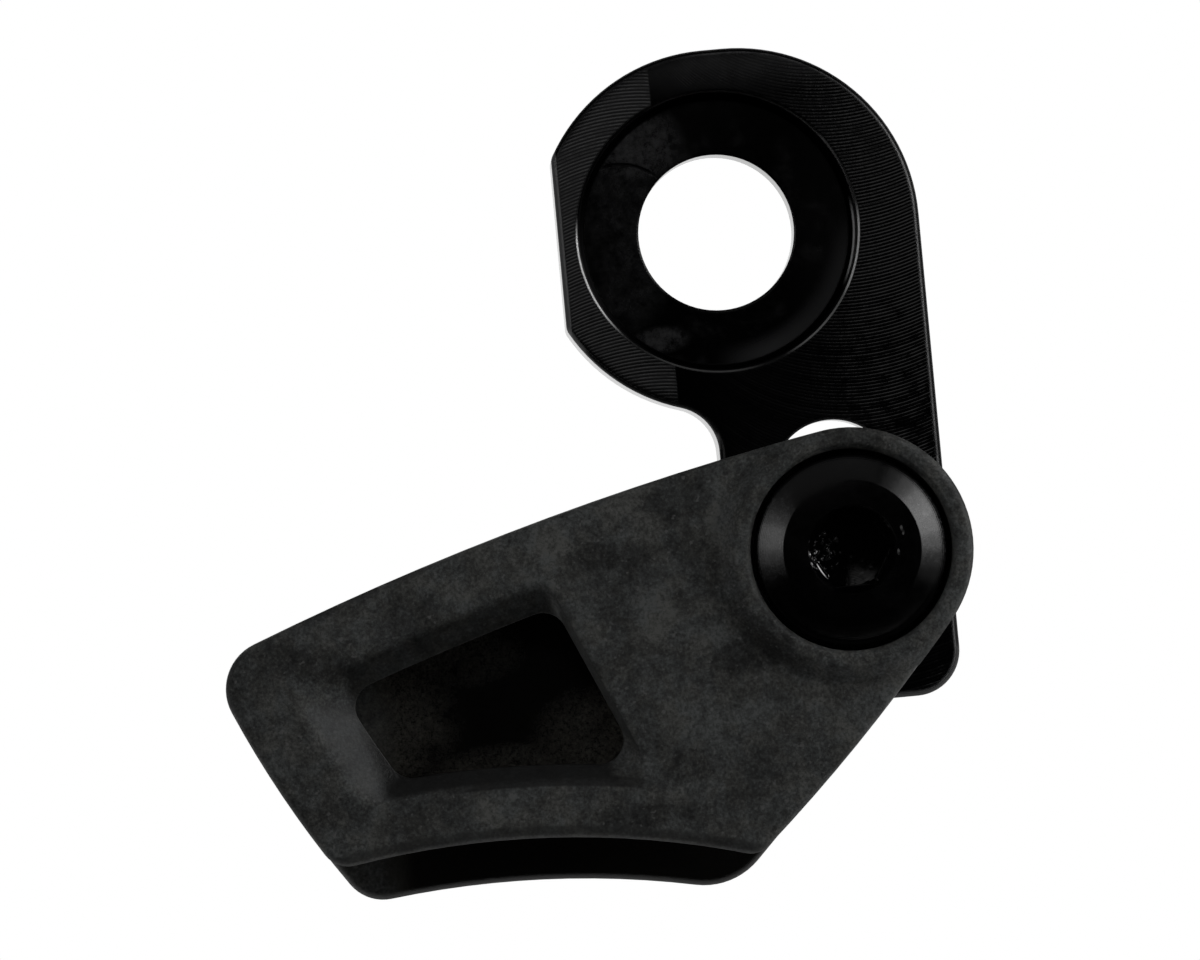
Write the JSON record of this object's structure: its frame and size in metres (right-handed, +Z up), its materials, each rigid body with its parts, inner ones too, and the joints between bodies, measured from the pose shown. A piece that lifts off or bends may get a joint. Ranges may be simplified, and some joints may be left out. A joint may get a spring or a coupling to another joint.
{
  "type": "bicycle chain guide",
  "caption": "Upper chain guide: a moulded channel cage clamped by a bolt to a slotted, milled bracket that hangs from a counterbored pivot bore.",
  "frame": {"origin": "centre of the pivot bore on the bracket's back face, which lies against the bicycle's frame", "axes": "+Z up along the height slot, +Y back into the bicycle's frame, +X to the right as seen from the guide's outer side"},
  "size_m": [0.0519, 0.0166, 0.0583],
  "materials": {
    "anodised_bracket": "milled, black anodised",
    "moulded_cage": "fine spark-eroded mould texture",
    "black_bolt": "turned, black oxide, satin",
    "plated_steel": "zinc plated"
  },
  "bodies": {
    "bracket": {"bracket": "anodised_bracket"},
    "clamp": {"clamp_bolt": "black_bolt", "bolt_washer": "plated_steel", "sleeve_nut": "plated_steel"},
    "cage": {"cage": "moulded_cage"}
  },
  "joints": [
    {"name": "height_slide", "type": "slide", "parent": "bracket", "child": "clamp", "axis": [0, 0, 1], "range_m": [-0.0032, 0.005]},
    {"name": "cage_tilt", "type": "hinge", "parent": "clamp", "child": "cage", "pos_m": [0.00645, -0.008, -0.0232], "axis": [0, -1, 0], "range_deg": [-25, 25]}
  ]
}
